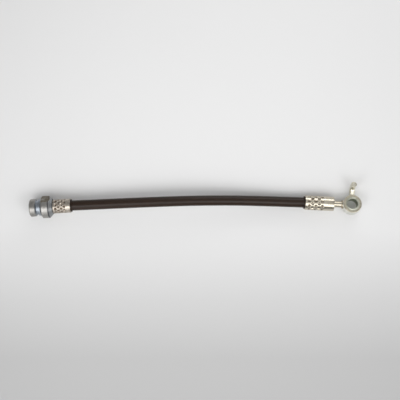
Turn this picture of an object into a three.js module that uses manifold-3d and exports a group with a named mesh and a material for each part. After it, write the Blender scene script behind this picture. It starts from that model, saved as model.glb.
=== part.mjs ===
// Brake hose: a short braided rubber hose with a crimped female fitting at one end and a crimped
// banjo eye with a bent locating pin at the other.
// Millimetres, +Z up. The hose lies on the plane Z = 0, and the origin is under the middle of its box.
// Each fitting is drawn in its own frame: X runs outwards from the ferrule's mouth, along the axis.

import * as THREE from "three";
import { mergeVertices } from "three/addons/utils/BufferGeometryUtils.js";
import Module from "manifold-3d";

const wasm = await Module();
wasm.setup();

// Hose, from its bore outwards
const HOSE_DIAMETER = 10.3;
const HOSE_BORE = 3.4;
const LINER_WALL = 0.85;
const BRAID_WALL = 0.4;
const CUSHION_WALL = 0.4;
const LAYER_GAP = 0.1;
const HOSE_SIDES = 12;
const HOSE_STEPS = 13;

// Rubber squeezed out at each ferrule's mouth
const LIP_DIAMETER = 13.2;
const LIP_LENGTH = 1.7;

// Clearances, and how far a cutting tool runs past the metal
const MOUTH_GAP = 0.3;
const HOSE_CLEARANCE = 0.3;
const NIPPLE_CLEARANCE = 0.25;
const SEAT_GAP = 0.25;
const BRAZE_GAP = 0.15;
const CUT_OVERSHOOT = 1;

// Ferrules
const FEMALE_FERRULE_DIAMETER = 13.9;
const FEMALE_FERRULE_LENGTH = 17.6;
const BANJO_FERRULE_DIAMETER = 14.4;
const BANJO_FERRULE_LENGTH = 28.9;
const FERRULE_END_WALL = 1.6;
const FERRULE_END_CHAMFER = 0.6;
const MOUTH_EDGE_CHAMFER = 0.2;
const MOUTH_FLARE = 0.1;
const MOUTH_FLARE_LENGTH = 1.4;

// Crimp: rows of diamond dents, each row turned half a dent from the last
const CRIMP_DEPTH = 0.65;
const CRIMP_HALF_WIDTH = 1.65;
const FEMALE_CRIMP = { rows: 4, perRow: 10, firstRow: 5.9, rowPitch: 2.9, halfLength: 1.6 };
const BANJO_CRIMP = { rows: 5, perRow: 9, firstRow: 3.8, rowPitch: 3.25, halfLength: 1.8 };

// Barbed nipple inside the hose
const PASSAGE_DIAMETER = 1.6;
const NIPPLE_TIP = 1.5;
const NIPPLE_TIP_CHAMFER = 0.4;
const BARB_HEIGHT = 0.15;
const BARB_PITCH = 3.2;
const BARBS = 3;

// Female fitting: spigot, flange with two spanner flats, clip groove and collar
const FEMALE_HOSE_DEPTH = 13.8;
const SPIGOT_DIAMETER = 8.6;
const SHOULDER_DIAMETER = 10.2;
const FLANGE_DIAMETER = 22;
const FLANGE_WIDTH = 6.9;
const FLANGE_BACK_CONE = 3.2;
const FLANGE_BACK_DIAMETER = 14.2;
const FLANGE_FRONT_CONE = 2.0;
const ACROSS_FLATS = 19;
const FLATS_TURN = -29;
const NECK_DIAMETER = 16.6;
const NECK_WIDTH = 1.6;
const GROOVE_DIAMETER = 14.1;
const GROOVE_WIDTH = 2.2;
const COLLAR_DIAMETER = 17.7;
const COLLAR_BACK_SLOPE = 1.4;
const COLLAR_WIDTH = 4.7;
const COLLAR_FRONT_CHAMFER = 0.9;

// Threaded socket with a raised cone that a flared pipe seals on
const SOCKET_DIAMETER = 9.0;
const SOCKET_DEPTH = 13;
const SOCKET_COUNTERSINK = 0.7;
const SEAT_BASE_DIAMETER = 7.2;
const SEAT_TIP_DIAMETER = 3.0;
const SEAT_HEIGHT = 2.1;

// Banjo stem and eye
const BANJO_HOSE_DEPTH = 19.8;
const STEM_DIAMETER = 6.4;
const EYE_FROM_MOUTH = 47.2;
const EYE_DIAMETER = 18.5;
const EYE_BORE = 10.6;
const EYE_THICKNESS = 10;
const EYE_EDGE_CHAMFER = 0.35;
const EYE_COUNTERSINK_DIAMETER = 14;
const EYE_COUNTERSINK_DEPTH = 0.9;
const STEM_SOCKET_DEPTH = 1.6;
const FILLET_LENGTH = 1.3;
const FILLET_BASE_DIAMETER = 9.4;
const FILLET_TIP_DIAMETER = 7.8;

// Locating pin, a rod bent square beside the eye
const PIN_DIAMETER = 5.6;
const PIN_OFFSET = 17.8;
const PIN_HEIGHT = 13;
const PIN_BEND = 3.0;
const PIN_SOCKET_DEPTH = 1.2;
const PIN_TIP_CHAMFER = 0.5;

// How the hose lies: the height of each mouth, and the turn of each fitting
const FEMALE_POSE = { mouth: [-125, -5.55, 12.16], yaw: 183.5, dip: 2.4, roll: -5 };
const BANJO_POSE = { mouth: [109.27, -2.5, 7.58], yaw: -2.92, dip: 0.6, roll: -14.7 };

// Centreline of the free hose between the mouths, chosen by hand
const FREE_ROUTE = [
  [-118, -5.22, 12.44],
  [-108, -4.79, 12.82],
  [-96, -4.28, 13.21],
  [-80, -3.56, 13.64],
  [-62, -2.78, 14],
  [-42, -1.97, 14.24],
  [-22, -1.27, 14.3],
  [-2, -0.74, 13.91],
  [18, -0.5, 12.9],
  [38, -0.53, 11.53],
  [56, -0.84, 10.2],
  [72, -1.3, 9.1],
  [86, -1.76, 8.3],
  [98, -2.14, 7.82],
];

const TURNED_SIDES = 36;
const STEM_SIDES = 18;
const PIN_SIDES = 18;
const PIN_STEPS = 14;
const FINE = 1e-5;

const hoseRadius = HOSE_DIAMETER / 2;
const ferruleBore = hoseRadius + HOSE_CLEARANCE;
const passage = PASSAGE_DIAMETER / 2;
const barbRadius = HOSE_BORE / 2 - NIPPLE_CLEARANCE;
const nippleRadius = barbRadius - BARB_HEIGHT;
const shoulderRadius = SHOULDER_DIAMETER / 2;
const flangeRadius = FLANGE_DIAMETER / 2;
const stemRadius = STEM_DIAMETER / 2;
const eyeRadius = EYE_DIAMETER / 2;
const pinRadius = PIN_DIAMETER / 2;

const radians = THREE.MathUtils.degToRad;

// A closed mesh with its shared vertices merged, as a solid that can be joined and cut
function solidOf(geometry) {
  const bare = geometry.clone();
  bare.deleteAttribute("normal");
  bare.deleteAttribute("uv");
  const merged = mergeVertices(bare, FINE);
  const mesh = new wasm.Mesh({
    numProp: 3,
    vertProperties: Float32Array.from(merged.attributes.position.array),
    triVerts: Uint32Array.from(merged.index.array),
  });
  return new wasm.Manifold(mesh);
}

function geometryOf(solid) {
  const { vertProperties, triVerts } = solid.getMesh();
  const geometry = new THREE.BufferGeometry();
  geometry.setAttribute("position", new THREE.BufferAttribute(vertProperties, 3));
  geometry.setIndex(new THREE.BufferAttribute(triVerts, 1));
  geometry.computeVertexNormals();
  return geometry;
}

// A ring whose profile of [radius, along] points closes on itself, turned round the X axis
function turned(profile, sides) {
  const points = [...profile, profile[0]].map(([radius, along]) => new THREE.Vector2(radius, along));
  return new THREE.LatheGeometry(points, sides).rotateZ(-Math.PI / 2);
}

// A rod from one X to another, along the X axis
function rod(radius, from, to, sides = STEM_SIDES) {
  const geometry = new THREE.CylinderGeometry(radius, radius, to - from, sides);
  return geometry.rotateZ(-Math.PI / 2).translate((from + to) / 2, 0, 0);
}

function metal(color, roughness) {
  return new THREE.MeshStandardMaterial({ color, roughness, metalness: 1 });
}

function soft(color, roughness) {
  return new THREE.MeshStandardMaterial({ color, roughness, metalness: 0 });
}

function named(name, geometry, material) {
  const mesh = new THREE.Mesh(geometry, material);
  mesh.name = name;
  return mesh;
}

// A fitting's own frame, set at its mouth on the hose: X outwards and dipping, then rolled
function fittingFrame({ mouth, yaw, dip, roll }) {
  const frame = new THREE.Group();
  frame.position.set(...mouth);
  frame.rotation.set(radians(roll), radians(dip), radians(yaw), "ZYX");
  frame.updateMatrixWorld();
  return frame;
}

// The shell crimped over the hose, closed by a wall with a hole for the spigot or stem
function ferrule(diameter, length, neckDiameter, crimp) {
  const outer = diameter / 2;
  const hole = neckDiameter / 2 + HOSE_CLEARANCE;
  const shell = turned(
    [
      [ferruleBore, 0],
      [outer + MOUTH_FLARE - MOUTH_EDGE_CHAMFER, 0],
      [outer + MOUTH_FLARE, MOUTH_EDGE_CHAMFER],
      [outer + MOUTH_FLARE, MOUTH_FLARE_LENGTH],
      [outer, 2 * MOUTH_FLARE_LENGTH],
      [outer, length - FERRULE_END_CHAMFER],
      [outer - FERRULE_END_CHAMFER, length],
      [hole, length],
      [hole, length - FERRULE_END_WALL],
      [ferruleBore, length - FERRULE_END_WALL],
    ],
    TURNED_SIDES,
  );
  let solid = solidOf(shell);
  for (let row = 0; row < crimp.rows; row += 1) {
    const along = crimp.firstRow + row * crimp.rowPitch;
    for (let i = 0; i < crimp.perRow; i += 1) {
      const turn = ((i + (row % 2) / 2) * 2 * Math.PI) / crimp.perRow;
      const dent = new THREE.OctahedronGeometry(1)
        .scale(crimp.halfLength, CRIMP_HALF_WIDTH, CRIMP_DEPTH)
        .translate(along, 0, outer)
        .rotateX(turn);
      solid = solid.subtract(solidOf(dent));
    }
  }
  return geometryOf(solid);
}

// The nipple's outside, from its tip to the face that the hose's end butts on
function nippleProfile(shoulder) {
  const profile = [
    [nippleRadius - NIPPLE_TIP_CHAMFER / 2, NIPPLE_TIP],
    [nippleRadius, NIPPLE_TIP + NIPPLE_TIP_CHAMFER],
  ];
  for (let i = 1; i <= BARBS; i += 1) {
    const step = NIPPLE_TIP + NIPPLE_TIP_CHAMFER + i * BARB_PITCH;
    profile.push([barbRadius, step], [nippleRadius, step]);
  }
  profile.push([nippleRadius, shoulder], [shoulderRadius, shoulder]);
  return profile;
}

// Everything of the flange's blank that lies outside its two flats
function outsideFlats(from, to) {
  const kept = new THREE.BoxGeometry(to - from + 2 * CUT_OVERSHOOT, ACROSS_FLATS, 2 * FLANGE_DIAMETER);
  kept.rotateX(radians(FLATS_TURN)).translate((from + to) / 2, 0, 0);
  return solidOf(rod(flangeRadius + CUT_OVERSHOOT, from, to)).subtract(solidOf(kept));
}

// One turned bar: barbed nipple, spigot, flange, clip groove, collar and threaded socket
function femaleBody() {
  const shoulder = FEMALE_HOSE_DEPTH + MOUTH_GAP;
  const spigot = FEMALE_FERRULE_LENGTH - FERRULE_END_WALL - SEAT_GAP;
  const flangeBack = FEMALE_FERRULE_LENGTH + SEAT_GAP;
  const flange = flangeBack + FLANGE_BACK_CONE;
  const flangeEnd = flange + FLANGE_WIDTH;
  const neck = flangeEnd + FLANGE_FRONT_CONE;
  const groove = neck + NECK_WIDTH;
  const collarSlope = groove + GROOVE_WIDTH;
  const collar = collarSlope + COLLAR_BACK_SLOPE;
  const chamfer = collar + COLLAR_WIDTH;
  const face = chamfer + COLLAR_FRONT_CHAMFER;
  const socket = SOCKET_DIAMETER / 2;
  const socketEnd = face - SOCKET_DEPTH;
  const blank = turned(
    [
      ...nippleProfile(shoulder),
      [shoulderRadius, spigot],
      [SPIGOT_DIAMETER / 2, spigot],
      [SPIGOT_DIAMETER / 2, flangeBack],
      [FLANGE_BACK_DIAMETER / 2, flangeBack],
      [flangeRadius, flange],
      [flangeRadius, flangeEnd],
      [NECK_DIAMETER / 2, neck],
      [NECK_DIAMETER / 2, groove],
      [GROOVE_DIAMETER / 2, groove],
      [GROOVE_DIAMETER / 2, collarSlope],
      [COLLAR_DIAMETER / 2, collar],
      [COLLAR_DIAMETER / 2, chamfer],
      [COLLAR_DIAMETER / 2 - COLLAR_FRONT_CHAMFER, face],
      [socket + SOCKET_COUNTERSINK, face],
      [socket, face - SOCKET_COUNTERSINK],
      [socket, socketEnd],
      [SEAT_BASE_DIAMETER / 2, socketEnd],
      [SEAT_TIP_DIAMETER / 2, socketEnd + SEAT_HEIGHT],
      [passage, socketEnd + SEAT_HEIGHT],
      [passage, NIPPLE_TIP],
    ],
    TURNED_SIDES,
  );
  return geometryOf(solidOf(blank).subtract(outsideFlats(flangeBack, neck)));
}

// Barbed nipple, the collar that the ferrule closes on, and the neck brazed into the eye
function banjoStem() {
  const shoulder = BANJO_HOSE_DEPTH + MOUTH_GAP;
  const collarEnd = BANJO_FERRULE_LENGTH - FERRULE_END_WALL - SEAT_GAP;
  const stemEnd = EYE_FROM_MOUTH - eyeRadius + STEM_SOCKET_DEPTH - BRAZE_GAP;
  return turned(
    [
      ...nippleProfile(shoulder),
      [shoulderRadius, collarEnd],
      [stemRadius, collarEnd],
      [stemRadius, stemEnd],
      [passage, stemEnd],
      [passage, NIPPLE_TIP],
    ],
    STEM_SIDES,
  );
}

// The eye stands in its own frame: its axis is Z, the stem comes in from -X and the pin leaves on +Y
function banjoEye() {
  const face = EYE_THICKNESS / 2;
  const bore = EYE_BORE / 2;
  const countersink = EYE_COUNTERSINK_DIAMETER / 2;
  const ring = turned(
    [
      [bore, EYE_COUNTERSINK_DEPTH - face],
      [countersink, -face],
      [eyeRadius - EYE_EDGE_CHAMFER, -face],
      [eyeRadius, EYE_EDGE_CHAMFER - face],
      [eyeRadius, face - EYE_EDGE_CHAMFER],
      [eyeRadius - EYE_EDGE_CHAMFER, face],
      [countersink, face],
      [bore, face - EYE_COUNTERSINK_DEPTH],
    ],
    TURNED_SIDES,
  ).rotateY(-Math.PI / 2);
  const fillet = new THREE.CylinderGeometry(
    FILLET_TIP_DIAMETER / 2,
    FILLET_BASE_DIAMETER / 2,
    eyeRadius + FILLET_LENGTH - countersink,
    STEM_SIDES,
  ).rotateZ(Math.PI / 2).translate(-(countersink + eyeRadius + FILLET_LENGTH) / 2, 0, 0);
  const stemSocket = rod(stemRadius + BRAZE_GAP, -2 * eyeRadius, STEM_SOCKET_DEPTH - eyeRadius);
  const fluidPort = rod(passage, -eyeRadius, 0);
  const pinSocket = rod(pinRadius + BRAZE_GAP, eyeRadius - PIN_SOCKET_DEPTH, 2 * eyeRadius)
    .rotateZ(Math.PI / 2);
  return geometryOf(
    solidOf(ring)
      .add(solidOf(fillet))
      .subtract(solidOf(stemSocket))
      .subtract(solidOf(fluidPort))
      .subtract(solidOf(pinSocket)),
  );
}

// A rod from its socket in the eye's rim, bent up beside the eye, with a chamfered tip
function locatingPin() {
  const root = eyeRadius - PIN_SOCKET_DEPTH + BRAZE_GAP;
  const bendStart = PIN_OFFSET - PIN_BEND;
  const path = new THREE.CurvePath();
  path.add(new THREE.LineCurve3(new THREE.Vector3(0, root, 0), new THREE.Vector3(0, bendStart, 0)));
  path.add(
    new THREE.QuadraticBezierCurve3(
      new THREE.Vector3(0, bendStart, 0),
      new THREE.Vector3(0, PIN_OFFSET, 0),
      new THREE.Vector3(0, PIN_OFFSET, PIN_BEND),
    ),
  );
  path.add(
    new THREE.LineCurve3(
      new THREE.Vector3(0, PIN_OFFSET, PIN_BEND),
      new THREE.Vector3(0, PIN_OFFSET, PIN_HEIGHT),
    ),
  );
  const section = new THREE.Shape().absarc(0, 0, pinRadius, 0, 2 * Math.PI);
  const bent = new THREE.ExtrudeGeometry(section, {
    extrudePath: path,
    steps: PIN_STEPS,
    curveSegments: PIN_SIDES / 2,
    bevelEnabled: false,
  });
  const tipCut = turned(
    [
      [pinRadius - PIN_TIP_CHAMFER - CUT_OVERSHOOT, CUT_OVERSHOOT],
      [pinRadius + CUT_OVERSHOOT, -PIN_TIP_CHAMFER - CUT_OVERSHOOT],
      [pinRadius + CUT_OVERSHOOT, CUT_OVERSHOOT],
    ],
    PIN_SIDES,
  ).rotateY(-Math.PI / 2).translate(0, PIN_OFFSET, PIN_HEIGHT);
  return geometryOf(solidOf(bent).subtract(solidOf(tipCut)));
}

// The centreline runs straight inside each fitting, from the hose's cut end to the mouth
function hoseRoute(femaleFrame, banjoFrame) {
  const inside = (frame, along) => new THREE.Vector3(along, 0, 0).applyMatrix4(frame.matrixWorld);
  return new THREE.CatmullRomCurve3([
    inside(femaleFrame, FEMALE_HOSE_DEPTH),
    inside(femaleFrame, FEMALE_HOSE_DEPTH / 2),
    inside(femaleFrame, 0),
    ...FREE_ROUTE.map((point) => new THREE.Vector3(...point)),
    inside(banjoFrame, 0),
    inside(banjoFrame, BANJO_HOSE_DEPTH / 2),
    inside(banjoFrame, BANJO_HOSE_DEPTH),
  ]);
}

function circle(path, radius) {
  for (let i = 0; i < HOSE_SIDES; i += 1) {
    const turn = (i * 2 * Math.PI) / HOSE_SIDES;
    const point = [radius * Math.cos(turn), radius * Math.sin(turn)];
    if (i === 0) path.moveTo(...point);
    else path.lineTo(...point);
  }
  path.closePath();
  return path;
}

// One layer of the hose: a tube of the given radii along the centreline
function hoseLayer(route, inner, outer) {
  const section = circle(new THREE.Shape(), outer);
  section.holes.push(circle(new THREE.Path(), inner));
  return new THREE.ExtrudeGeometry(section, {
    extrudePath: route,
    steps: HOSE_STEPS,
    bevelEnabled: false,
  });
}

// The bead of rubber that the crimp squeezes out round the hose in front of a mouth
function rubberLip(frame) {
  const lip = LIP_DIAMETER / 2;
  const root = hoseRadius - LAYER_GAP - BRAID_WALL;
  return turned(
    [
      [root, -MOUTH_GAP - LIP_LENGTH],
      [(lip + hoseRadius) / 2, -MOUTH_GAP - LIP_LENGTH],
      [lip, -MOUTH_GAP - LIP_LENGTH / 2],
      [lip, -MOUTH_GAP],
      [root, -MOUTH_GAP],
    ],
    STEM_SIDES,
  ).applyMatrix4(frame.matrixWorld);
}

function hoseLayers(femaleFrame, banjoFrame) {
  const route = hoseRoute(femaleFrame, banjoFrame);
  const walls = [
    ["hose_liner", LINER_WALL, soft(0x1d1c1b, 0.7)],
    ["inner_braid", BRAID_WALL, soft(0xd8d4c8, 0.8)],
    ["hose_cushion", CUSHION_WALL, soft(0x2a2826, 0.8)],
    ["outer_braid", BRAID_WALL, soft(0xd8d4c8, 0.8)],
  ];
  const meshes = [];
  let inner = HOSE_BORE / 2;
  for (const [name, wall, material] of walls) {
    meshes.push(named(name, hoseLayer(route, inner, inner + wall), material));
    inner += wall + LAYER_GAP;
  }
  const cover = solidOf(hoseLayer(route, inner, hoseRadius))
    .add(solidOf(rubberLip(femaleFrame)))
    .add(solidOf(rubberLip(banjoFrame)));
  meshes.push(named("hose_cover", geometryOf(cover), soft(0x2b2522, 0.6)));
  return meshes;
}

function femaleFitting(frame) {
  const shell = ferrule(FEMALE_FERRULE_DIAMETER, FEMALE_FERRULE_LENGTH, SPIGOT_DIAMETER, FEMALE_CRIMP);
  frame.add(named("female_body", femaleBody(), metal(0x9fa1a2, 0.35)));
  frame.add(named("female_ferrule", shell, metal(0xb9b3a6, 0.35)));
  return frame;
}

function banjoFitting(frame) {
  const shell = ferrule(BANJO_FERRULE_DIAMETER, BANJO_FERRULE_LENGTH, STEM_DIAMETER, BANJO_CRIMP);
  frame.add(named("banjo_ferrule", shell, metal(0xc4bfb2, 0.25)));
  frame.add(named("banjo_stem", banjoStem(), metal(0xc0baa6, 0.3)));
  const eye = new THREE.Group();
  eye.position.x = EYE_FROM_MOUTH;
  eye.add(named("banjo_eye", banjoEye(), metal(0xb5ae98, 0.35)));
  eye.add(named("locating_pin", locatingPin(), metal(0xb9b39a, 0.3)));
  frame.add(eye);
  return frame;
}

const brakeHose = new THREE.Group();
const femaleFrame = fittingFrame(FEMALE_POSE);
const banjoFrame = fittingFrame(BANJO_POSE);
brakeHose.add(...hoseLayers(femaleFrame, banjoFrame));
brakeHose.add(femaleFitting(femaleFrame), banjoFitting(banjoFrame));

export default brakeHose;
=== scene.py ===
import math

import bmesh
import bpy
from mathutils import Euler, Matrix, Vector


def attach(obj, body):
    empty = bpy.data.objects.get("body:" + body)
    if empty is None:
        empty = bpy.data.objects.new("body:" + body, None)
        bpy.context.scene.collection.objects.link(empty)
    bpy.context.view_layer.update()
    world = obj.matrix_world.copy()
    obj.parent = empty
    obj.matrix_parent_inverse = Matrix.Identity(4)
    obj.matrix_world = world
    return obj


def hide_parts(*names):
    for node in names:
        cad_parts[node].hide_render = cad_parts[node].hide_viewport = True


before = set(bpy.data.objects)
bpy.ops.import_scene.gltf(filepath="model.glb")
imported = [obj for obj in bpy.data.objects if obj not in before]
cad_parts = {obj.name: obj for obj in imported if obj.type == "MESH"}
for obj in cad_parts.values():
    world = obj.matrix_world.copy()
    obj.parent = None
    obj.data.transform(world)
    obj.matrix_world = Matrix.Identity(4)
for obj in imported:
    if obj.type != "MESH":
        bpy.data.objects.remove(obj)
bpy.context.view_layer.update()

# Brake hose: rubber, crimps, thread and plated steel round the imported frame, on a pale table.
# Shapes are written in millimetres in a fitting's own frame, and end up in metres in the row frame.

mm = 0.001
print("frame loaded:", ", ".join(sorted(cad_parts)))

# Each fitting's frame stands at the mouth where the hose comes out; X runs outwards along its axis
fittings = {
    "female": {"mouth": (-125, -5.55, 12.16), "roll": -5, "dip": 2.4, "yaw": 183.5},
    "banjo": {"mouth": (109.27, -2.5, 7.58), "roll": -14.7, "dip": 0.6, "yaw": -2.92},
}


def fittingTurn(place):
    return Euler([math.radians(place[turn]) for turn in ("roll", "dip", "yaw")])


def fittingMatrix(place):
    return Matrix.Translation(place["mouth"]) @ fittingTurn(place).to_matrix().to_4x4()


# Camera straight above the middle, as high as a hand-held shot of a table top; its place is in
# metres, its lens and sensor in millimetres
camera = {"place": (0.004, 0, 0.931), "lens": 82.8, "sensor": 36}

cameraData = bpy.data.cameras.new("camera")
cameraData.lens = camera["lens"]
cameraData.sensor_width = camera["sensor"]
cameraObject = bpy.data.objects.new("camera", cameraData)
cameraObject.location = camera["place"]
bpy.context.scene.collection.objects.link(cameraObject)
bpy.context.scene.camera = cameraObject
bpy.context.scene.view_settings.view_transform = "Standard"


def linear(hexColour):
    channels = [int(hexColour[i:i + 2], 16) / 255 for i in (1, 3, 5)]
    return [c / 12.92 if c <= 0.04045 else ((c + 0.055) / 1.055) ** 2.4 for c in channels] + [1]


def addNode(tree, kind, settings=None, inputs=None):
    node = tree.nodes.new(kind)
    for name, value in (settings or {}).items():
        setattr(node, name, value)
    for name, value in (inputs or {}).items():
        if isinstance(value, bpy.types.NodeSocket):
            tree.links.new(value, node.inputs[name])
        else:
            node.inputs[name].default_value = value
    return node


def emptyMaterial(name):
    material = bpy.data.materials.new(name)
    material.use_nodes = True
    material.node_tree.nodes.clear()
    return material, material.node_tree


def setRamp(node, stops):
    ramp = node.color_ramp
    while len(ramp.elements) < len(stops):
        ramp.elements.new(1)
    for element, (place, colour) in zip(ramp.elements, stops):
        element.position = place
        element.color = linear(colour) if isinstance(colour, str) else (colour, colour, colour, 1)


# Zinc plated steel: a satin metal whose blue or yellow passivation drifts from place to place.
# Tool marks run round a turned piece, and draw marks run along a drawn or pressed one.
# A noise stays near a half, so each MapRange below stretches its middle over what it steers.
def platedSteel(name, fitting, look):
    material, tree = emptyMaterial(name)
    spot = addNode(tree, "ShaderNodeTexCoord").outputs["Object"]
    own = addNode(tree, "ShaderNodeMapping", {"vector_type": "TEXTURE"}, {
        "Vector": spot,
        "Location": Vector(fitting["mouth"]) * mm,
        "Rotation": fittingTurn(fitting),
        "Scale": (mm, mm, mm),
    }).outputs[0]
    if "roundAxisAt" in look:  # colours run outwards from the eye's axis instead of along the piece
        flat = addNode(tree, "ShaderNodeVectorMath", {"operation": "MULTIPLY_ADD"}, {
            0: own, 1: (1, 1, 0), 2: (-look["roundAxisAt"], 0, 0)}).outputs[0]
        place = addNode(tree, "ShaderNodeVectorMath", {"operation": "LENGTH"},
                        {0: flat}).outputs["Value"]
    else:
        place = addNode(tree, "ShaderNodeSeparateXYZ", None, {0: own}).outputs[0]
    start, end = look["span"]
    share = addNode(tree, "ShaderNodeMapRange", None,
                    {"Value": place, "From Min": start, "From Max": end}).outputs[0]
    ramp = addNode(tree, "ShaderNodeValToRGB", None, {"Fac": share})
    setRamp(ramp, [((at - start) / (end - start), colour) for at, colour in look["colours"]])
    mottle = addNode(tree, "ShaderNodeTexNoise", None, {
        "Vector": own, "Scale": 1 / look["mottleSize"], "Detail": 3, "Roughness": 0.6}).outputs[0]
    patchy = addNode(tree, "ShaderNodeMapRange", None, {
        "Value": mottle, "From Min": 0.35, "From Max": 0.7, "To Max": look["mottle"]}).outputs[0]
    tinted = addNode(tree, "ShaderNodeMix", {"data_type": "RGBA"}, {
        "Factor": patchy, "A": ramp.outputs[0],
        "B": linear(look["mottleColour"])}).outputs["Result"]
    marksAt = addNode(tree, "ShaderNodeMapping", None, {
        "Vector": own, "Scale": look["marks"]}).outputs[0]
    marks = addNode(tree, "ShaderNodeTexNoise", None, {
        "Vector": marksAt, "Scale": 1, "Detail": 4, "Roughness": 0.65}).outputs[0]
    dirty = addNode(tree, "ShaderNodeMapRange", None, {
        "Value": marks, "From Min": 0.3, "From Max": 0.5,
        "To Min": look["markShade"], "To Max": 1}).outputs[0]
    shaded = addNode(tree, "ShaderNodeMix", {"data_type": "RGBA", "blend_type": "MULTIPLY"}, {
        "Factor": 1, "A": tinted, "B": dirty}).outputs["Result"]
    uneven = addNode(tree, "ShaderNodeMapRange", None, {
        "Value": mottle, "From Min": 0.38, "From Max": 0.58,
        "To Min": 0.45, "To Max": 1}).outputs[0]
    # Painted shade, with some dirt, in the dents and thread grooves, and painted shade on the
    # milled flats, where an attribute of the mesh marks them
    for mark, colour in look.get("painted", {}).items():
        marked = addNode(tree, "ShaderNodeAttribute", {"attribute_name": mark}).outputs["Fac"]
        amount = addNode(tree, "ShaderNodeMath", {"operation": "MULTIPLY"},
                         {0: marked, 1: uneven}).outputs[0]
        shaded = addNode(tree, "ShaderNodeMix", {"data_type": "RGBA"}, {
            "Factor": amount, "A": shaded, "B": linear(colour)}).outputs["Result"]
    low, high = look["roughness"]
    gloss = addNode(tree, "ShaderNodeMapRange", None, {
        "Value": marks, "From Min": 0.3, "From Max": 0.7, "To Min": low, "To Max": high}).outputs[0]
    bump = addNode(tree, "ShaderNodeBump", None, {
        "Height": marks, "Strength": look["markDepth"], "Distance": 0.02 * mm}).outputs[0]
    shader = addNode(tree, "ShaderNodeBsdfPrincipled", None, {
        "Base Color": shaded, "Metallic": 1, "Roughness": gloss, "Normal": bump})
    addNode(tree, "ShaderNodeOutputMaterial", None, {"Surface": shader.outputs[0]})
    return material


# Extruded rubber: dull brown-black with faint streaks that the die left along the hose
def extrudedRubber(name, look):
    material, tree = emptyMaterial(name)
    unrolled = addNode(tree, "ShaderNodeUVMap", {"uv_map": "unrolled"}).outputs[0]
    streaksAt = addNode(tree, "ShaderNodeMapping", None, {
        "Vector": unrolled, "Scale": look["streaks"]}).outputs[0]
    streaks = addNode(tree, "ShaderNodeTexNoise", None, {
        "Vector": streaksAt, "Scale": 1, "Detail": 4, "Roughness": 0.6}).outputs[0]
    ramp = addNode(tree, "ShaderNodeValToRGB", None, {"Fac": streaks})
    setRamp(ramp, look["colours"])
    low, high = look["roughness"]
    gloss = addNode(tree, "ShaderNodeMapRange", None, {
        "Value": streaks, "From Min": 0.3, "From Max": 0.7,
        "To Min": low, "To Max": high}).outputs[0]
    spot = addNode(tree, "ShaderNodeTexCoord").outputs["Object"]
    grain = addNode(tree, "ShaderNodeTexNoise", None, {
        "Vector": spot, "Scale": 1 / (look["grain"] * mm), "Detail": 2}).outputs[0]
    height = addNode(tree, "ShaderNodeMath", {"operation": "ADD"},
                     {0: streaks, 1: grain}).outputs[0]
    bump = addNode(tree, "ShaderNodeBump", None, {
        "Height": height, "Strength": look["bump"], "Distance": 0.05 * mm}).outputs[0]
    shader = addNode(tree, "ShaderNodeBsdfPrincipled", None, {
        "Base Color": ramp.outputs[0], "Roughness": gloss, "Specular IOR Level": look["sheen"],
        "Normal": bump})
    addNode(tree, "ShaderNodeOutputMaterial", None, {"Surface": shader.outputs[0]})
    return material


# Mesh makers, in millimetres

def newPiece(name, points, faces):
    mesh = bpy.data.meshes.new(name)
    mesh.from_pydata([tuple(p) for p in points], [], faces)
    piece = bpy.data.objects.new(name, mesh)
    bpy.context.scene.collection.objects.link(piece)
    return piece


def faceOutwards(piece):
    built = bmesh.new()
    built.from_mesh(piece.data)
    bmesh.ops.recalc_face_normals(built, faces=built.faces)
    built.to_mesh(piece.data)
    built.free()


def settle(piece):  # turns the modifiers' result into the piece's own mesh
    shown = piece.evaluated_get(bpy.context.evaluated_depsgraph_get())
    mesh = bpy.data.meshes.new_from_object(shown)
    piece.modifiers.clear()
    piece.data = mesh


def combine(piece, other, operation="DIFFERENCE"):  # cuts or joins, and uses the other mesh up
    modifier = piece.modifiers.new("combine", "BOOLEAN")
    modifier.object = other
    modifier.operation = operation
    modifier.solver = "EXACT"
    settle(piece)
    bpy.data.objects.remove(other)


def rounded(corners, steps=5):  # corners are (along, radius, rounding); each becomes an arc
    longest = 0.45  # share of a side that an arc may take, so that two arcs never meet
    points = []
    for i, (along, radius, rounding) in enumerate(corners):
        corner = Vector((along, radius))
        if rounding == 0:
            points.append(corner)
            continue
        before = Vector(corners[i - 1][:2]) - corner
        after = Vector(corners[(i + 1) % len(corners)][:2]) - corner
        reach = rounding / math.tan(before.angle(after) / 2)
        start = corner + before.normalized() * min(reach, before.length * longest)
        end = corner + after.normalized() * min(reach, after.length * longest)
        for k in range(steps + 1):
            t = k / steps
            points.append(start.lerp(corner, t).lerp(corner.lerp(end, t), t))
    return points


def circle(sides):  # the cosine and sine of each spoke of a ring
    turns = [2 * math.pi * j / sides for j in range(sides)]
    return [(math.cos(turn), math.sin(turn)) for turn in turns]


# Faces from each ring to the next and, if closed, from the last ring back to the first
def bands(rings, sides, closed=True):
    faces = []
    for i in range(rings if closed else rings - 1):
        here, there = i * sides, (i + 1) % rings * sides
        for j in range(sides):
            k = (j + 1) % sides
            faces.append((here + j, here + k, there + k, there + j))
    return faces


def turned(name, corners, sides=96):  # a closed ring profile revolved round the X axis
    rings = rounded(corners)
    points = [(along, radius * c, radius * s) for along, radius in rings for c, s in circle(sides)]
    piece = newPiece(name, points, bands(len(rings), sides))
    faceOutwards(piece)
    return piece


def rod(name, radius, start, end, sides=64):  # a plain cylinder along X, used to cut
    points = [(along, radius * c, radius * s) for along in (start, end) for c, s in circle(sides)]
    caps = [tuple(range(sides)), tuple(range(2 * sides - 1, sides - 1, -1))]
    piece = newPiece(name, points, caps + bands(2, sides, closed=False))
    faceOutwards(piece)
    return piece


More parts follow.
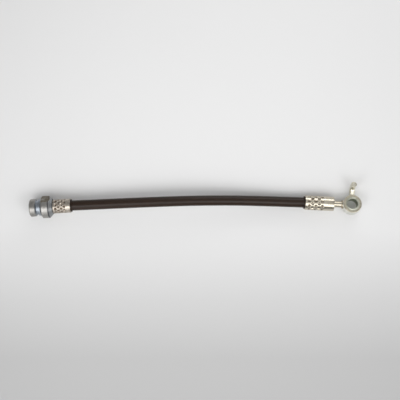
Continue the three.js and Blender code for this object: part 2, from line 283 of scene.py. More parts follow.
# A round tube, or a rod if it has no bore, along a path and closed at its ends
def swept(name, path, radii, sides, bore=0):
    forwards = [(path[min(i + 1, len(path) - 1)] - path[max(i - 1, 0)]).normalized()
                for i in range(len(path))]
    side = forwards[0].orthogonal().normalized()
    frames = []
    for ahead in forwards:
        side = (side - ahead * side.dot(ahead)).normalized()
        frames.append((side.copy(), ahead.cross(side)))
    rings = [(i, radii[i]) for i in range(len(path))]
    if bore:
        rings += [(i, bore) for i in reversed(range(len(path)))]
    points = []
    for i, radius in rings:
        u, v = frames[i]
        points += [path[i] + (u * c + v * s) * radius for c, s in circle(sides)]
    faces = bands(len(rings), sides, closed=bore > 0)
    if not bore:
        last = (len(rings) - 1) * sides
        faces += [tuple(range(sides)), tuple(last + j for j in range(sides))]
    piece = newPiece(name, points, faces)
    faceOutwards(piece)
    return piece


# Puts a finished piece in its place, gives it its material and ties it to the frame
def dress(piece, matrix, material, replaced, sharpAngle=30):
    piece.data.transform(matrix)
    piece.data.materials.clear()
    piece.data.materials.append(material)
    for face in piece.data.polygons:
        face.use_smooth = True
        face.material_index = 0
    piece.data.set_sharp_from_angle(angle=math.radians(sharpAngle))
    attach(piece, "root")
    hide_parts(*replaced)


def toRow(matrix):  # millimetres in a fitting's frame to metres in the row frame
    return Matrix.Scale(mm, 4) @ matrix


# Geometry Nodes that press or cut a pattern into a turned piece

def newTree(name, sizes):
    tree = bpy.data.node_groups.new(name, "GeometryNodeTree")
    tree.interface.new_socket("Geometry", in_out="INPUT", socket_type="NodeSocketGeometry")
    for size in sizes:
        tree.interface.new_socket(size, in_out="INPUT", socket_type="NodeSocketFloat")
    tree.interface.new_socket("Metal", in_out="INPUT", socket_type="NodeSocketMaterial")
    tree.interface.new_socket("Geometry", in_out="OUTPUT", socket_type="NodeSocketGeometry")
    return tree


def addMaths(tree, known, steps):  # each step is a result's name, an operation and its operands
    for result, operation, *operands in steps:
        inputs = {i: known.get(value, value) for i, value in enumerate(operands)}
        known[result] = addNode(tree, "ShaderNodeMath", {"operation": operation}, inputs).outputs[0]


# Ends a tree: marks how deep each point goes, moves the points and gives the metal. The marks come
# first, because the mask reads where the points are. The shader colours the marked recesses with
# painted shade.
def moveOutwards(tree, entry, known, distance, only, depthShare):
    shareThere = addNode(tree, "ShaderNodeMath", {"operation": "MULTIPLY"},
                         {0: known[depthShare], 1: known[only]}).outputs[0]
    marked = addNode(tree, "GeometryNodeStoreNamedAttribute",
                     {"data_type": "FLOAT", "domain": "POINT"}, {
        "Geometry": entry.outputs["Geometry"], "Name": "recess", "Value": shareThere}).outputs[0]
    direction = addNode(tree, "ShaderNodeCombineXYZ", None,
                        {"Y": known["y"], "Z": known["z"]}).outputs[0]
    unit = addNode(tree, "ShaderNodeVectorMath", {"operation": "NORMALIZE"},
                   {0: direction}).outputs[0]
    offset = addNode(tree, "ShaderNodeVectorMath", {"operation": "SCALE"},
                     {0: unit, "Scale": known[distance]}).outputs[0]
    moved = addNode(tree, "GeometryNodeSetPosition", None, {
        "Geometry": marked, "Selection": known[only], "Offset": offset}).outputs[0]
    real = addNode(tree, "GeometryNodeRealizeInstances", None, {0: moved}).outputs[0]
    finished = addNode(tree, "GeometryNodeSetMaterial", None, {
        "Geometry": real, "Material": entry.outputs["Metal"]}).outputs[0]
    addNode(tree, "NodeGroupOutput", None, {0: finished})


def knownPlaces(tree, entry, sizes):  # the names that the steps of a tree may use
    known = {size: entry.outputs[size] for size in sizes}
    position = addNode(tree, "GeometryNodeInputPosition").outputs[0]
    split = addNode(tree, "ShaderNodeSeparateXYZ", None, {0: position})
    known.update(x=split.outputs[0], y=split.outputs[1], z=split.outputs[2])
    addMaths(tree, known, [
        ("yy", "MULTIPLY", "y", "y"),
        ("radiusSquared", "MULTIPLY_ADD", "z", "z", "yy"),
        ("radius", "SQRT", "radiusSquared"),
        ("minusY", "MULTIPLY", "y", -1.0),
        ("angle", "ARCTAN2", "minusY", "z"),
        ("turn", "DIVIDE", "angle", 2 * math.pi),
    ])
    return known


crimpSizes = ["Outer Radius", "First Row", "Row Pitch", "Rows", "Per Row",
              "Half Length", "Half Width", "Depth", "Softness"]


# Rounded diamond dents in staggered rows, each row turned half a dent from the last. Even and odd
# rows are worked out in turn, and a point is pressed by whichever kind presses it deeper.
def crimpTree():
    tree = newTree("crimp dents", crimpSizes)
    entry = addNode(tree, "NodeGroupInput")
    known = knownPlaces(tree, entry, crimpSizes)
    addMaths(tree, known, [
        ("fromFirst", "SUBTRACT", "x", "First Row"),
        ("row", "DIVIDE", "fromFirst", "Row Pitch"),
        ("lastRow", "SUBTRACT", "Rows", 1.0),
        ("spacing", "MULTIPLY", "Outer Radius", 2 * math.pi),
        ("dentSpacing", "DIVIDE", "spacing", "Per Row"),
        ("dentTurns", "MULTIPLY", "turn", "Per Row"),
    ])
    for odd in (0.0, 1.0):
        addMaths(tree, known, [
            ("rowsOn", "SUBTRACT", "row", odd),
            ("pairsOn", "DIVIDE", "rowsOn", 2.0),
            ("wholePairs", "ROUND", "pairsOn"),
            ("nearestOfKind", "MULTIPLY_ADD", "wholePairs", 2.0, odd),
            ("notBeforeFirst", "MAXIMUM", "nearestOfKind", odd),
            ("rowsInAll", "SUBTRACT", "lastRow", odd),
            ("pairsInAll", "DIVIDE", "rowsInAll", 2.0),
            ("lastPair", "FLOOR", "pairsInAll"),
            ("lastOfKind", "MULTIPLY_ADD", "lastPair", 2.0, odd),
            ("nearest", "MINIMUM", "notBeforeFirst", "lastOfKind"),
            ("fromRow", "SUBTRACT", "row", "nearest"),
            ("fromRowLength", "MULTIPLY", "fromRow", "Row Pitch"),
            ("alongShare", "DIVIDE", "fromRowLength", "Half Length"),
            ("alongPart", "ABSOLUTE", "alongShare"),
            ("phase", "SUBTRACT", "dentTurns", odd / 2),
            ("wholeDent", "ROUND", "phase"),
            ("fromDent", "SUBTRACT", "phase", "wholeDent"),
            ("aroundLength", "MULTIPLY", "fromDent", "dentSpacing"),
            ("aroundShare", "DIVIDE", "aroundLength", "Half Width"),
            ("aroundPart", "ABSOLUTE", "aroundShare"),
            ("alongPower", "POWER", "alongPart", "Softness"),
            ("aroundPower", "POWER", "aroundPart", "Softness"),
            ("together", "ADD", "alongPower", "aroundPower"),
            ("pressedOdd" if odd else "pressedEven", "SUBTRACT", 1.0, "together"),
        ])
    addMaths(tree, known, [
        ("deepest", "MAXIMUM", "pressedEven", "pressedOdd"),
        ("pressed", "MAXIMUM", "deepest", 0.0),
        ("eased", "POWER", "pressed", 0.7),  # steeper sides and a flatter floor
        ("inwards", "MULTIPLY", "eased", "Depth"),
        ("move", "MULTIPLY", "inwards", -1.0),
        ("skin", "MULTIPLY", "Outer Radius", 0.95),  # the shell's bore stays round
        ("onSkin", "GREATER_THAN", "radius", "skin"),
    ])
    moveOutwards(tree, entry, known, "move", "onSkin", "eased")
    return tree


threadSizes = ["Minor Radius", "Start", "End", "Pitch", "Thread Depth"]


# A screw thread cut outwards into a plain bore, fading out over a millimetre at both ends
def threadTree():
    tree = newTree("pipe nut thread", threadSizes)
    entry = addNode(tree, "NodeGroupInput")
    known = knownPlaces(tree, entry, threadSizes)
    addMaths(tree, known, [
        ("turns", "DIVIDE", "x", "Pitch"),
        ("screwed", "SUBTRACT", "turns", "turn"),
        ("wave", "PINGPONG", "screwed", 0.5),
        ("groove", "MULTIPLY", "wave", 2.0),
        ("fromStart", "SUBTRACT", "x", "Start"),
        ("toEnd", "SUBTRACT", "End", "x"),
        ("room", "MINIMUM", "fromStart", "toEnd"),
        ("inside", "MAXIMUM", "room", 0.0),
        ("fade", "MINIMUM", "inside", 1.0),
        ("cutShare", "MULTIPLY", "groove", "fade"),
        ("move", "MULTIPLY", "cutShare", "Thread Depth"),
        ("offMinor", "SUBTRACT", "radius", "Minor Radius"),
        ("offMinorSize", "ABSOLUTE", "offMinor"),
        ("onBore", "LESS_THAN", "offMinorSize", 0.05),  # not the socket's floor, seat or mouth
    ])
    moveOutwards(tree, entry, known, "move", "onBore", "cutShare")
    return tree


def applyTree(piece, tree, sizes, metal):  # runs a tree on a piece, with its inputs by name
    modifier = piece.modifiers.new(tree.name, "NODES")
    modifier.node_group = tree
    sockets = {item.name: item.identifier for item in tree.interface.items_tree
               if item.in_out == "INPUT"}
    for name, value in sizes.items():
        modifier[sockets[name]] = float(value)
    modifier[sockets["Metal"]] = metal
    settle(piece)


# Plain stations along a cylinder, close enough together to take a pattern
def stationsAlong(start, end, step, radius):
    count = math.ceil((end - start) / step)
    return [(start + (end - start) * i / count, radius, 0) for i in range(count + 1)]


# The hose, its lips and the route that it lies on

hose = {
    "diameter": 10.3, "bore": 3.4, "insideFemale": 13.8, "insideBanjo": 19.8,
    "mouthGap": 0.3, "lipDiameter": 12.8, "lipLength": 1.3,
    "lipStep": 0.12, "longStep": 2.0, "sides": 72,
    "colours": [(0.25, "#1c110a"), (0.5, "#27190f"), (0.75, "#35261a")],
    "roughness": (0.28, 0.38), "sheen": 0.28, "bump": 0.35,
    "streaks": (40, 14, 1),  # round the hose, and in each tenth of a metre along it
    "grain": 0.5,
}

# Where the hose lies between the fittings, the same points as in the CAD
freeRoute = [
    (-118, -5.22, 12.44), (-108, -4.79, 12.82), (-96, -4.28, 13.21), (-80, -3.56, 13.64),
    (-62, -2.78, 14), (-42, -1.97, 14.24), (-22, -1.27, 14.3), (-2, -0.74, 13.91),
    (18, -0.5, 12.9), (38, -0.53, 11.53), (56, -0.84, 10.2), (72, -1.3, 9.1),
    (86, -1.76, 8.3), (98, -2.14, 7.82),
]


def hosePoints():
    female, banjo = fittingMatrix(fittings["female"]), fittingMatrix(fittings["banjo"])
    start = [female @ Vector((hose["insideFemale"] * share, 0, 0)) for share in (1, 0.5, 0)]
    end = [banjo @ Vector((hose["insideBanjo"] * share, 0, 0)) for share in (0, 0.5, 1)]
    return start + [Vector(point) for point in freeRoute] + end


def smoothRoute(points, perSpan=40):  # one smooth curve through every point
    ends = [2 * points[0] - points[1]] + points + [2 * points[-1] - points[-2]]
    knots = [0]
    for a, b in zip(ends, ends[1:]):
        knots.append(knots[-1] + math.sqrt((b - a).length))
    route = []
    for i in range(1, len(ends) - 2):
        p, t = ends[i - 1:i + 3], knots[i - 1:i + 3]
        for k in range(perSpan):
            here = t[1] + (t[2] - t[1]) * k / perSpan
            first = [p[n].lerp(p[n + 1], (here - t[n]) / (t[n + 1] - t[n])) for n in range(3)]
            second = [first[n].lerp(first[n + 1], (here - t[n]) / (t[n + 2] - t[n]))
                      for n in range(2)]
            route.append(second[0].lerp(second[1], (here - t[1]) / (t[2] - t[1])))
    return route + [points[-1]]


def alongRoute(route, distances):  # the points at these distances from the route's start
    found, travelled, i = [], 0, 0
    for distance in distances:
        while i < len(route) - 2 and travelled + (route[i + 1] - route[i]).length < distance:
            travelled += (route[i + 1] - route[i]).length
            i += 1
        step = route[i + 1] - route[i]
        found.append(route[i] + step.normalized() * (distance - travelled))
    return found


def lipRadius(fromMouth):  # the lip that the crimp squeezes out, fading onto the hose
    plain, lip = hose["diameter"] / 2, hose["lipDiameter"] / 2
    share = (fromMouth - hose["mouthGap"]) / hose["lipLength"]
    if share < 0 or share > 1:
        return plain
    return plain + (lip - plain) * math.sqrt(1 - share ** 3)


def lipSteps(zone):  # distances from a mouth, close together over its lip
    start = hose["mouthGap"]
    count = math.ceil((zone - start) / hose["lipStep"])
    return [start + (zone - start) * i / count for i in range(count + 1)]


def unroll(piece, stations):  # a map of the cover: once round is 1, a tenth of a metre along is 1
    layer = piece.data.uv_layers.new(name="unrolled")
    sides, rings = hose["sides"], len(stations)
    for face in piece.data.polygons:
        ends = [piece.data.loops[i].vertex_index for i in face.loop_indices]
        wraps = {v % sides for v in ends} == {0, sides - 1}
        for i, vertex in zip(face.loop_indices, ends):
            ring, spoke = divmod(vertex, sides)
            station = stations[ring] if ring < rings else stations[2 * rings - 1 - ring]
            around = 1 if wraps and spoke == 0 else spoke / sides
            layer.data[i].uv = (around, station / 100)


def makeHose():
    route = smoothRoute(hosePoints())
    length = sum((b - a).length for a, b in zip(route, route[1:]))
    femaleMouth = hose["insideFemale"]
    banjoMouth = length - hose["insideBanjo"]
    lipZone = hose["mouthGap"] + hose["lipLength"] + hose["lipStep"]
    lipFace = hose["mouthGap"] - 0.01  # a hair before the lip, so that its face stands upright
    stations = [0, femaleMouth + lipFace]
    stations += [femaleMouth + d for d in lipSteps(lipZone)]
    free = banjoMouth - femaleMouth - 2 * lipZone
    count = math.ceil(free / hose["longStep"])
    stations += [femaleMouth + lipZone + free * i / count for i in range(1, count)]
    stations += [banjoMouth - d for d in reversed(lipSteps(lipZone))]
    stations += [banjoMouth - lipFace, length]
    path = alongRoute(route, stations)
    radii = [lipRadius(s - femaleMouth) if s < length / 2 else lipRadius(banjoMouth - s)
             for s in stations]
    piece = swept("hose_tube", path, radii, hose["sides"], hose["bore"] / 2)
    unroll(piece, stations)
    rubber = extrudedRubber("extruded rubber cover", hose)
    nodes = ["hose_liner", "inner_braid", "hose_cushion", "outer_braid", "hose_cover"]
    dress(piece, toRow(Matrix.Identity(4)), rubber, nodes, sharpAngle=50)
    print(f"hose made, {length:.1f} mm from cut end to cut end")


makeHose()


# Crimped shells: thin pressed steel, the dents of the crimping jaws round them. In each "look",
# "span" and "colours" run along the piece in millimetres, "mottleSize" is one in millimetres,
# "marks" are tool marks per millimetre along and across, and "painted" colours what is marked.

ferrules = {
    "female": {
        "name": "female_ferrule_shell", "node": "female_ferrule", "slot": "female_ferrule",
        "diameter": 13.9, "length": 17.6, "hole": 8.6, "crimpEnd": 16.4,
        "dents": {"First Row": 5.9, "Row Pitch": 2.9, "Rows": 4, "Per Row": 10,
                  "Half Length": 1.5, "Half Width": 1.6, "Depth": 1.0, "Softness": 1.6},
        "look": {
            "span": (0, 18), "colours": [(0, "#c6beb3"), (18, "#b9b0a5")],
            "mottle": 0.5, "mottleColour": "#8d8172", "mottleSize": 2.2,
            "marks": (0.5, 2.2, 2.2), "markShade": 0.75, "markDepth": 0.3,
            "roughness": (0.24, 0.36),
            # the recess colour is painted shade, with some dirt, in the dents
            "painted": {"recess": "#5d4b3a"},
        },
    },
    "banjo": {
        "name": "banjo_ferrule_shell", "node": "banjo_ferrule", "slot": "banjo_ferrule",
        "diameter": 14.4, "length": 28.9, "hole": 6.4, "crimpEnd": 19,
        "dents": {"First Row": 3.8, "Row Pitch": 3.25, "Rows": 5, "Per Row": 9,
                  "Half Length": 1.7, "Half Width": 1.7, "Depth": 1.0, "Softness": 1.6},
        "look": {
            "span": (0, 29), "colours": [(0, "#cfc8b9"), (29, "#cfc8b9")],
            "mottle": 0.3, "mottleColour": "#ada189", "mottleSize": 2.5,
            "marks": (0.15, 3.5, 3.5), "markShade": 0.8, "markDepth": 0.3,
            "roughness": (0.13, 0.25),
            # the recess colour is painted shade, with some dirt, in the dents
            "painted": {"recess": "#5f4d3d"},
        },
    },
}

# What both shells share; "step" and "sides" make the mesh fine enough for the dents
shell = {
    "clearance": 0.3, "endWall": 1.6, "endRounding": 0.7,
    "flare": 0.1, "flareLength": 1.4, "afterFlare": 0.3, "step": 0.16, "sides": 240,
}


def makeFerrule(which):
    part = ferrules[which]
    outer, length = part["diameter"] / 2, part["length"]
    bore = hose["diameter"] / 2 + shell["clearance"]
    hole = part["hole"] / 2 + shell["clearance"]
    flare, wall = shell["flare"], shell["endWall"]
    corners = [(0, bore, 0.2), (0, outer + flare, 0.25), (shell["flareLength"], outer + flare, 0.5)]
    crimpStart = shell["flareLength"] + shell["afterFlare"]
    corners += stationsAlong(crimpStart, part["crimpEnd"], shell["step"], outer)
    corners += [(length, outer, shell["endRounding"]), (length, hole, 0.2),
                (length - wall, hole, 0), (length - wall, bore, 0)]
    piece = turned(part["name"], corners, shell["sides"])
    steel = platedSteel(f"pressed steel, zinc plated, {which}", fittings[which], part["look"])
    applyTree(piece, crimps, {"Outer Radius": outer, **part["dents"]}, steel)
    place = toRow(fittingMatrix(fittings[which]))
    dress(piece, place, steel, [part["node"]], sharpAngle=40)


crimps = crimpTree()
makeFerrule("female")
makeFerrule("banjo")
print("ferrules crimped")


# Female fitting, turned from one bar, with two flats for a spanner and a threaded socket.
# Pairs and triples are places along the axis, then a radius; "seat" is a height and two radii.

femaleBody = {
    "hoseDepth": 14.1, "nippleTip": 1.5, "nipple": 1.3, "passage": 0.8, "shoulder": 5.1,
    "spigot": (15.75, 4.3), "back": (17.85, 7.6), "flange": (21.3, 27.95, 11),
    "neck": (29.95, 31.55, 8.3), "groove": (33.75, 7.05),
    "collar": (35.15, 40.75, 8.85), "collarChamfer": 0.9,
    "acrossFlats": 19, "flatsTurn": -29, "flatsOverrun": 0.5,
    "socket": 4.5, "socketDepth": 13, "countersink": 0.7, "seat": (2.1, 3.6, 1.5),
    "pitch": 1.0, "threadDepth": 0.5, "threadRunout": 0.4, "threadStep": 0.1, "sides": 128,
    "look": {
        "span": (17, 41),
        # the dark band from 20.9 to 21.8 is a painted dark reflection on the flange's rounded edge
        "colours": [(17.5, "#949a9e"), (20.6, "#989a9c"), (20.9, "#585a5e"), (21.8, "#585a5e"),
                    (22.3, "#a6a5a2"), (28, "#a8a6a3"), (29.8, "#9fa4a8"), (30.2, "#9aa3ad"),
                    (34, "#97a0aa"), (35, "#9e9d9a"), (41, "#a5a39f")],
        "mottle": 0.35, "mottleColour": "#86807a", "mottleSize": 3.0,
        "marks": (5, 0.35, 0.35), "markShade": 0.86, "markDepth": 0.25, "roughness": (0.3, 0.42),
        # painted shade, with some dirt, in the thread grooves, and painted shade on the flats for
        # the shaded table that they mirror
        "painted": {"recess": "#55504a", "milled": "#635c4f"},
    },
}


def makeFemaleBody():
    part = femaleBody
    flange, flangeEnd, flangeRadius = part["flange"]
    neck, neckEnd, neckRadius = part["neck"]
    grooveEnd, grooveRadius = part["groove"]
    collar, face, collarRadius = part["collar"]
    seatHeight, seatBase, seatTip = part["seat"]
    socketEnd = face - part["socketDepth"]
    threadStart = socketEnd + seatHeight
    thread = stationsAlong(
        threadStart, face - part["countersink"], part["threadStep"], part["socket"])
    corners = [
        (part["nippleTip"], part["nipple"], 0.2),
        (part["hoseDepth"], part["nipple"], 0),
        (part["hoseDepth"], part["shoulder"], 0.2),
        (part["spigot"][0], part["shoulder"], 0.2),
        (part["spigot"][0], part["spigot"][1], 0.1),
        (part["back"][0], part["spigot"][1], 0.1),
        (part["back"][0], part["back"][1], 0.4),
        (flange, flangeRadius, 0.9),
        (flangeEnd, flangeRadius, 0.6),
        (neck, neckRadius, 0.3),
        (neckEnd, neckRadius, 0.15),
        (neckEnd, grooveRadius, 0.25),
        (grooveEnd, grooveRadius, 0.3),
        (collar, collarRadius, 0.3),
        (face - part["collarChamfer"], collarRadius, 0.4),
        (face, collarRadius - part["collarChamfer"], 0.3),
        (face, part["socket"] + part["countersink"], 0.1),
        *reversed(thread),
        (socketEnd, part["socket"], 0.2),
        (socketEnd, seatBase, 0.1),
        (socketEnd + seatHeight, seatTip, 0.15),
        (socketEnd + seatHeight, part["passage"], 0.1),
        (part["nippleTip"], part["passage"], 0.1),
    ]
    piece = turned("female_fitting", corners, part["sides"])
    steel = platedSteel("turned steel, blue zinc plated", fittings["female"], part["look"])
    applyTree(piece, threadTree(), {
        "Minor Radius": part["socket"], "Start": threadStart, "End": face - part["threadRunout"],
        "Pitch": part["pitch"], "Thread Depth": part["threadDepth"]}, steel)
    for side in (-1, 1):
        combine(piece, flatCutter(part, side))
    markFlats(piece, part)
    dress(piece, toRow(fittingMatrix(fittings["female"])), steel, ["female_body"])


def markFlats(piece, part):  # faces that lie on a flat and look straight out of it
    across = Matrix.Rotation(math.radians(part["flatsTurn"]), 3, "X") @ Vector((0, 1, 0))
    onFlat, straight = part["acrossFlats"] / 2 - 0.01, 0.999
    milled = piece.data.attributes.new("milled", "FLOAT", "FACE")
    for face in piece.data.polygons:
        there = abs(face.center.dot(across)) > onFlat
        milled.data[face.index].value = there and abs(face.normal.dot(across)) > straight


def flatCutter(part, side):  # a block that takes away all beyond one flat
    inner, outer = part["acrossFlats"] / 2, part["flange"][2] + 1
    low, high = part["back"][0] - part["flatsOverrun"], part["neck"][0] + part["flatsOverrun"]
    corners = [(x, y * side, z)
               for x in (low, high) for y in (inner, outer) for z in (-outer, outer)]
    faces = [(0, 1, 3, 2), (4, 6, 7, 5), (0, 4, 5, 1), (2, 3, 7, 6), (0, 2, 6, 4), (1, 5, 7, 3)]
    block = newPiece("flat_cutter", corners, faces)
    faceOutwards(block)
    block.data.transform(Matrix.Rotation(math.radians(part["flatsTurn"]), 4, "X"))
    return block


makeFemaleBody()
print("female fitting turned, threaded and flatted")


# Banjo end: stem, eye and bent pin. The eye's colours run outwards from its axis, and the pin's
# route is a list of places out of the eye's axis and up along it.

stem = {
    "hoseDepth": 20.1, "nippleTip": 1.5, "nipple": 1.3, "passage": 0.8, "shoulder": 5.1,
    "collarEnd": 27.05, "radius": 3.2, "end": 39.4, "sides": 96,
    "look": {
        "span": (28, 40), "colours": [(28, "#cbc4b4"), (36, "#cbc4b4"), (37.5, "#ada28e")],
        "mottle": 0.3, "mottleColour": "#a0926f", "mottleSize": 1.8,
        "marks": (4, 0.5, 0.5), "markShade": 0.85, "markDepth": 0.2, "roughness": (0.14, 0.26),
    },
}

eye = {
    "fromMouth": 47.2, "radius": 9.25, "bore": 5.3, "halfThickness": 5, "countersink": 7,
    "countersinkDepth": 0.3, "edge": 0.8, "stemSocket": 1.6, "pinSocket": 1.2, "gap": 0.15,
    "fillet": (1.3, 4.7, 3.9),  # how far it reaches from the rim, and its two radii
    "sides": 160,
    "look": {
        "span": (5, 11),
        # painted shade on the bore wall at 5.28, and a painted highlight on the outer wall from 9.2
        # to 9.4
        "colours": [(5.28, "#8c9682"), (5.4, "#d4d7c8"), (6.9, "#d2d4c5"), (7.1, "#d2cbb8"),
                    (9.1, "#c7c1af"), (9.2, "#ecede6"), (9.4, "#ecede6"), (9.6, "#aba08c")],
        "mottle": 0.35, "mottleColour": "#979178", "mottleSize": 2.5,
        "marks": (0.9, 0.9, 0.9), "markShade": 0.86, "markDepth": 0.25, "roughness": (0.24, 0.38),
    },
}

pin = {
    "radius": 2.8, "tipRounding": 0.5, "tipSteps": 5, "sides": 48,
    "route": [(8.2, -0.5), (9.4, -0.35), (10.6, 0), (11.9, 0.48), (13.2, 0.98), (14.5, 1.5),
              (15.5, 2.05), (16.4, 2.75), (17.15, 3.6), (17.65, 4.6), (17.85, 6), (17.8, 8),
              (17.8, 10.5), (17.8, 12.5)],
    "look": {
        "span": (40, 56), "colours": [(40, "#e6e2d3"), (56, "#eeeadb")],
        "mottle": 0.35, "mottleColour": "#a09878", "mottleSize": 1.8,
        "marks": (3, 0.6, 3), "markShade": 0.82, "markDepth": 0.25, "roughness": (0.2, 0.32),
    },
}


def makeStem():
    corners = [
        (stem["nippleTip"], stem["nipple"], 0.2),
        (stem["hoseDepth"], stem["nipple"], 0),
        (stem["hoseDepth"], stem["shoulder"], 0.2),
        (stem["collarEnd"], stem["shoulder"], 0.2),
        (stem["collarEnd"], stem["radius"], 0.2),
        (stem["end"], stem["radius"], 0.1),
        (stem["end"], stem["passage"], 0.1),
        (stem["nippleTip"], stem["passage"], 0.1),
    ]
    piece = turned("banjo_neck", corners, stem["sides"])
    steel = platedSteel("drawn steel, zinc plated, heat stained", fittings["banjo"], stem["look"])
    dress(piece, toRow(fittingMatrix(fittings["banjo"])), steel, ["banjo_stem"])


def eyeMatrix():
    return fittingMatrix(fittings["banjo"]) @ Matrix.Translation((eye["fromMouth"], 0, 0))


def makeEye():
    half, radius, edge = eye["halfThickness"], eye["radius"], eye["edge"]
    depth, countersink, bore = eye["countersinkDepth"], eye["countersink"], eye["bore"]
    corners = [
        (depth - half, bore, 0.25), (-half, countersink, 0.15), (-half, radius, edge),
        (half, radius, edge), (half, countersink, 0.15), (half - depth, bore, 0.25),
    ]
    piece = turned("banjo_ring", corners, eye["sides"])
    piece.data.transform(Matrix.Rotation(math.radians(-90), 4, "Y"))
    reach, base, tip = eye["fillet"]
    core = 0.2  # keeps the fillet's profile off the axis; the fluid port takes the hole away
    fillet = turned("fillet", [(-countersink, core, 0), (-countersink, base, 0),
                               (-radius - reach, tip, 0.2), (-radius - reach, core, 0)], sides=64)
    combine(piece, fillet, "UNION")
    combine(piece, rod("stem_socket", stem["radius"] + eye["gap"],
                       -2 * radius, eye["stemSocket"] - radius))
    combine(piece, rod("fluid_port", stem["passage"], -radius, 0))
    pinSocket = rod("pin_socket", pin["radius"] + eye["gap"], radius - eye["pinSocket"], 2 * radius)
    pinSocket.data.transform(Matrix.Rotation(math.radians(90), 4, "Z"))
    combine(piece, pinSocket)
    look = {**eye["look"], "roundAxisAt": eye["fromMouth"]}
    steel = platedSteel("turned steel, yellow zinc plated", fittings["banjo"], look)
    dress(piece, toRow(eyeMatrix()), steel, ["banjo_eye"])


def makePin():
    path = smoothRoute([Vector((0, y, z)) for y, z in pin["route"]], perSpan=6)
    radii = [pin["radius"]] * len(path)
    rounding, last = pin["tipRounding"], path[-1]
    for i in range(1, pin["tipSteps"] + 1):
        turn = math.radians(90) * i / pin["tipSteps"]
        path.append(last + Vector((0, 0, rounding * math.sin(turn))))
        radii.append(pin["radius"] - rounding + rounding * math.cos(turn))
    piece = swept("bent_pin", path, radii, pin["sides"])
    steel = platedSteel("bent steel rod, yellow zinc plated", fittings["banjo"], pin["look"])
    dress(piece, toRow(eyeMatrix()), steel, ["locating_pin"])


makeStem()
makeEye()
makePin()
print("banjo end made")


# Table, lamps and the room that the metal mirrors

studio = {
    "tableSize": 6,
    # Grey of the table top by place in metres, from the near side to the far side; the darker near
    # side is painted shade
    "tableShadeGreys": [(-0.16, "#c0c0c0"), (-0.1, "#cfcfcf"), (-0.03, "#e4e4e4"), (0.2, "#efefef")],
    # Softboxes with grids in front of each end, one lamp between them, and white cards that the
    # metal mirrors: place, what it points at, size, radiance, spread in degrees
    "lamps": {
        "left softbox": ((-0.44, -0.3, 0.46), (-0.14, 0, 0.01), (0.5, 0.54), 2.9, 70),
        "right softbox": ((0.44, -0.3, 0.46), (0.14, 0, 0.01), (0.5, 0.54), 2.7, 70),
        "middle softbox": ((0, -0.27, 0.48), (0, 0, 0.01), (0.5, 0.4), 1.1, 180),
        "north-east card": ((0.32, 0.7, 0.33), (0.14, 0, 0.01), (0.8, 0.27), 1.8, 180),
        "east card": ((0.94, -0.35, 0.17), (-0.14, 0, 0.01), (0.35, 0.26), 2.6, 180),
        "south-west card": ((-0.28, -0.74, 0.27), (-0.14, 0, 0.01), (0.4, 0.46), 0.85, 180),
    },
    # Room brightness by angle: the south horizon is at 0.25, straight up at 0.5, north at 0.75,
    "room": [(0, 0.3), (0.25, 0.3), (0.3, 0.22), (0.38, 0.25), (0.45, 0.58), (0.5, 0.62),
             (0.66, 0.58), (0.71, 0.46), (0.75, 0.46)],
    # times a share by how far the direction leans, from west at 0 to east at 1
    "sides": [(0.015, 1), (0.08, 0.45), (0.3, 0.4), (0.42, 0.95), (0.5, 1.1), (0.58, 1.25),
              (0.7, 0.5), (0.92, 0.45), (0.985, 1)],
}


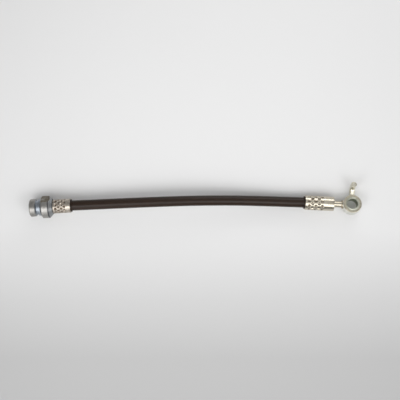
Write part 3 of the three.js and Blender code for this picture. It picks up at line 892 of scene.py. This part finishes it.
def makeTable():
    half = studio["tableSize"] / 2
    corners = [(-half, -half, 0), (half, -half, 0), (half, half, 0), (-half, half, 0)]
    table = newPiece("table", corners, [(0, 1, 2, 3)])
    material, tree = emptyMaterial("matt white table top with painted shade")
    spot = addNode(tree, "ShaderNodeTexCoord").outputs["Object"]
    depth = addNode(tree, "ShaderNodeSeparateXYZ", None, {0: spot}).outputs[1]
    near, far = studio["tableShadeGreys"][0][0], studio["tableShadeGreys"][-1][0]
    # painted shade: the table top darkens towards the near side
    share = addNode(tree, "ShaderNodeMapRange", None, {
        "Value": depth, "From Min": near, "From Max": far}).outputs[0]
    ramp = addNode(tree, "ShaderNodeValToRGB", None, {"Fac": share})
    setRamp(ramp, [((at - near) / (far - near), colour) for at, colour in studio["tableShadeGreys"]])
    shader = addNode(tree, "ShaderNodeBsdfDiffuse", None, {"Color": ramp.outputs[0]})
    addNode(tree, "ShaderNodeOutputMaterial", None, {"Surface": shader.outputs[0]})
    table.data.materials.append(material)


def makeLamps():
    for name, (place, target, size, radiance, spread) in studio["lamps"].items():
        light = bpy.data.lights.new(name, "AREA")
        light.shape = "RECTANGLE"
        light.size, light.size_y = size
        light.spread = math.radians(spread)
        half = light.spread / 2  # a narrow spread gathers the light, so less energy is needed
        light.energy = radiance * 4 * light.size * light.size_y * (1 - half / math.tan(half))
        lamp = bpy.data.objects.new(name, light)
        lamp.location = place
        lamp.rotation_euler = (Vector(target) - Vector(place)).to_track_quat("-Z", "Y").to_euler()
        bpy.context.scene.collection.objects.link(lamp)


def makeRoom():
    world = bpy.data.worlds.new("room")
    world.use_nodes = True
    tree = world.node_tree
    tree.nodes.clear()
    direction = addNode(tree, "ShaderNodeTexCoord").outputs["Generated"]
    split = addNode(tree, "ShaderNodeSeparateXYZ", None, {0: direction})
    angle = addNode(tree, "ShaderNodeMath", {"operation": "ARCTAN2"},
                    {0: split.outputs[1], 1: split.outputs[2]}).outputs[0]
    share = addNode(tree, "ShaderNodeMapRange", None, {
        "Value": angle, "From Min": -math.pi, "From Max": math.pi}).outputs[0]
    around = addNode(tree, "ShaderNodeValToRGB", None, {"Fac": share})
    setRamp(around, studio["room"])
    lean = addNode(tree, "ShaderNodeMapRange", None,
                   {"Value": split.outputs[0], "From Min": -1}).outputs[0]
    sides = addNode(tree, "ShaderNodeValToRGB", None, {"Fac": lean})
    setRamp(sides, studio["sides"])
    both = addNode(tree, "ShaderNodeMix", {"data_type": "RGBA", "blend_type": "MULTIPLY"}, {
        "Factor": 1, "A": around.outputs[0], "B": sides.outputs[0]}).outputs["Result"]
    background = addNode(tree, "ShaderNodeBackground", None, {"Color": both})
    addNode(tree, "ShaderNodeOutputWorld", None, {"Surface": background.outputs[0]})
    bpy.context.scene.world = world


makeTable()
makeLamps()
makeRoom()
print("studio lit")
